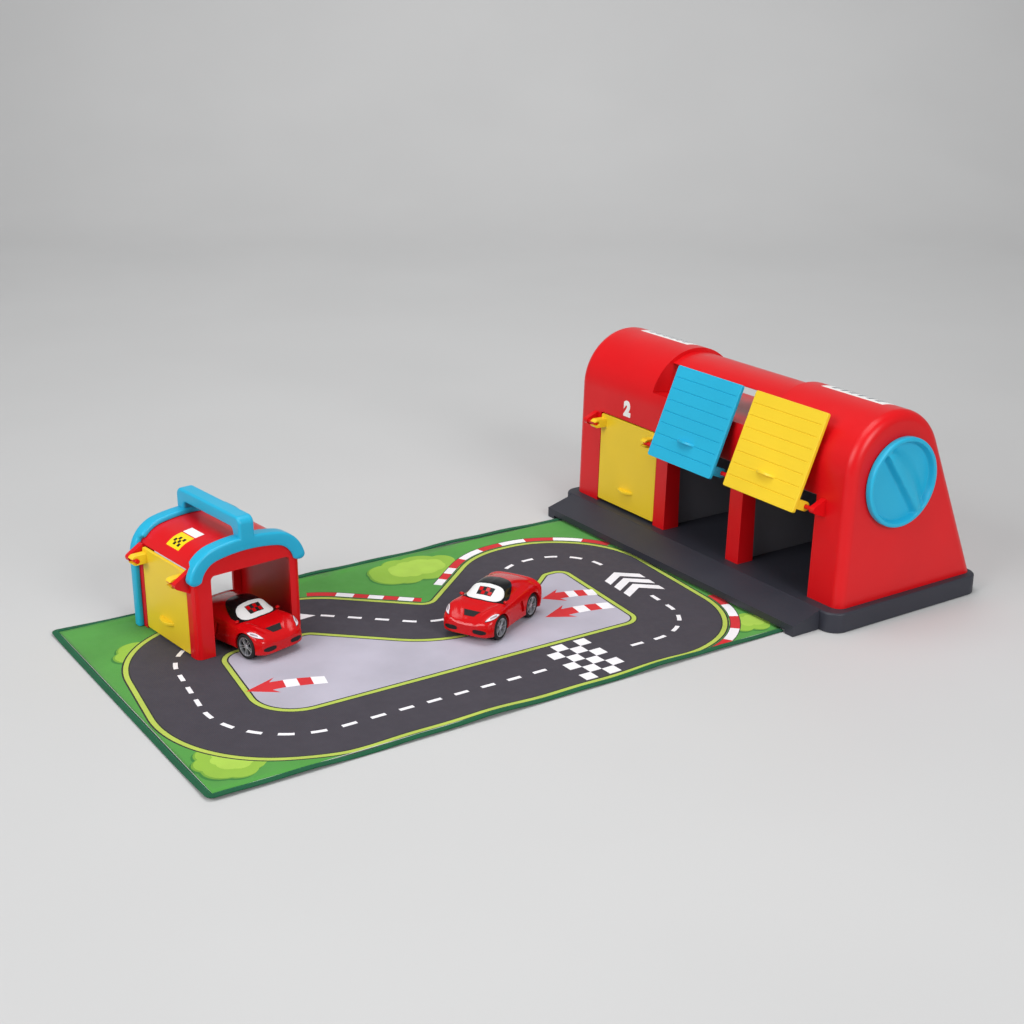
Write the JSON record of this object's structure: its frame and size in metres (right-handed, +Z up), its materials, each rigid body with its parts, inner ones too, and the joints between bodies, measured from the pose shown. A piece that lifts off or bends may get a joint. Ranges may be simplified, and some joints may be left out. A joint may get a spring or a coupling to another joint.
{
  "type": "roll-out toy race track",
  "caption": "Toy pit station whose knob winds in a printed race-track mat, with flip-up garage doors, a ramp, a portable garage and small toy cars.",
  "frame": {"origin": "middle of the footprint of the station and its rolled-out mat, on the floor", "axes": "+Z up, +X along the station towards the winding knob, -Y the way the mat rolls out"},
  "size_m": [0.422, 0.774, 0.195],
  "materials": {
    "red_plastic": "smooth moulded",
    "yellow_plastic": "smooth moulded",
    "blue_plastic": "smooth moulded",
    "slate_plastic": "fine satin grain",
    "black_plastic": "satin",
    "white_plastic": "smooth moulded",
    "silver_plastic": "silver lacquer",
    "steel": "bright zinc",
    "tyre": "matte",
    "mat_fabric": "printed polyester",
    "binding_fabric": "woven tape",
    "car_red": "gloss lacquer"
  },
  "bodies": {
    "station": {"base_deck": "slate_plastic", "base_cover": "slate_plastic", "ramp": "slate_plastic", "station_shell": "red_plastic", "bay_liner": "black_plastic", "drum_bushes": "white_plastic", "guide_rod": "steel", "mat_lead": "mat_fabric", "play_mat": "mat_fabric", "mat_binding": "binding_fabric", "shell_screws": "steel", "cover_screws": "steel"},
    "left_door": {"left_door": "yellow_plastic"},
    "middle_door": {"middle_door": "blue_plastic"},
    "right_door": {"right_door": "yellow_plastic"},
    "winder": {"winder_knob": "blue_plastic", "winder_drum": "white_plastic", "knob_pin": "steel", "mat_clamp": "slate_plastic"},
    "portable_garage": {"portable_shell": "red_plastic", "portable_handle": "blue_plastic", "handle_screws": "steel"},
    "portable_door": {"portable_door": "yellow_plastic"},
    "car_one": {"car_one_body": "car_red", "car_one_canopy": "black_plastic", "car_one_windscreen": "white_plastic", "car_one_chassis": "black_plastic", "car_one_headlamps": "white_plastic", "car_one_grilles": "black_plastic", "car_one_screws": "steel"},
    "car_one_front_wheels": {"car_one_front_axle": "steel", "car_one_front_tyres": "tyre", "car_one_front_rims": "silver_plastic"},
    "car_one_rear_wheels": {"car_one_rear_axle": "steel", "car_one_rear_tyres": "tyre", "car_one_rear_rims": "silver_plastic"},
    "car_two": {"car_two_body": "car_red", "car_two_canopy": "black_plastic", "car_two_windscreen": "white_plastic", "car_two_chassis": "black_plastic", "car_two_headlamps": "white_plastic", "car_two_grilles": "black_plastic", "car_two_screws": "steel"},
    "car_two_front_wheels": {"car_two_front_axle": "steel", "car_two_front_tyres": "tyre", "car_two_front_rims": "silver_plastic"},
    "car_two_rear_wheels": {"car_two_rear_axle": "steel", "car_two_rear_tyres": "tyre", "car_two_rear_rims": "silver_plastic"}
  },
  "joints": [
    {"name": "left_door_hinge", "type": "hinge", "parent": "station", "child": "left_door", "pos_m": [-0.1147, 0.20032, 0.1075], "axis": [-1, 0, 0], "range_deg": [0, 200.85]},
    {"name": "middle_door_hinge", "type": "hinge", "parent": "station", "child": "middle_door", "pos_m": [0, 0.20032, 0.1075], "axis": [-1, 0, 0], "range_deg": [-200.85, 0]},
    {"name": "right_door_hinge", "type": "hinge", "parent": "station", "child": "right_door", "pos_m": [0.1147, 0.20032, 0.1075], "axis": [-1, 0, 0], "range_deg": [-200.85, 0]},
    {"name": "winder_turn", "type": "hinge", "parent": "station", "child": "winder", "pos_m": [0.203, 0.2725, 0.13], "axis": [1, 0, 0], "range_deg": [0, 2700], "deforming": ["play_mat", "mat_binding", "mat_lead"]},
    {"name": "portable_lift", "type": "slide", "parent": "station", "child": "portable_garage", "axis": [0, 0, 1], "range_m": [0, 0.25]},
    {"name": "portable_door_hinge", "type": "hinge", "parent": "portable_garage", "child": "portable_door", "pos_m": [-0.0992, -0.31563, 0.0711], "axis": [-0.9942, -0.108, 0], "range_deg": [0, 190]},
    {"name": "car_one_roll", "type": "slide", "parent": "station", "child": "car_one", "axis": [0.9659, 0.2588, 0], "range_m": [0, 0.09]},
    {"name": "car_one_front_wheels_spin", "type": "hinge", "parent": "car_one", "child": "car_one_front_wheels", "pos_m": [-0.03647, -0.23862, 0.0126], "axis": [-0.2588, 0.9659, 0], "range_deg": [-1, 449.4]},
    {"name": "car_one_rear_wheels_spin", "type": "hinge", "parent": "car_one", "child": "car_one_rear_wheels", "pos_m": [-0.09153, -0.25338, 0.0126], "axis": [-0.2588, 0.9659, 0], "range_deg": [-1, 449.4]},
    {"name": "car_two_roll", "type": "slide", "parent": "station", "child": "car_two", "axis": [0.4695, -0.8829, 0], "range_m": [-0.08, 0.06]},
    {"name": "car_two_front_wheels_spin", "type": "hinge", "parent": "car_two", "child": "car_two_front_wheels", "pos_m": [0.03338, -0.06916, 0.0126], "axis": [0.8829, 0.4695, 0], "range_deg": [-399.6, 299.9]},
    {"name": "car_two_rear_wheels_spin", "type": "hinge", "parent": "car_two", "child": "car_two_rear_wheels", "pos_m": [0.00662, -0.01884, 0.0126], "axis": [0.8829, 0.4695, 0], "range_deg": [-399.6, 299.9]}
  ],
  "couplings": [
    {"joint": "car_one_front_wheels_spin", "follows": "car_one_roll", "rad_per_m": 86.957},
    {"joint": "car_one_rear_wheels_spin", "follows": "car_one_roll", "rad_per_m": 86.957},
    {"joint": "car_two_front_wheels_spin", "follows": "car_two_roll", "rad_per_m": 86.957},
    {"joint": "car_two_rear_wheels_spin", "follows": "car_two_roll", "rad_per_m": 86.957}
  ]
}
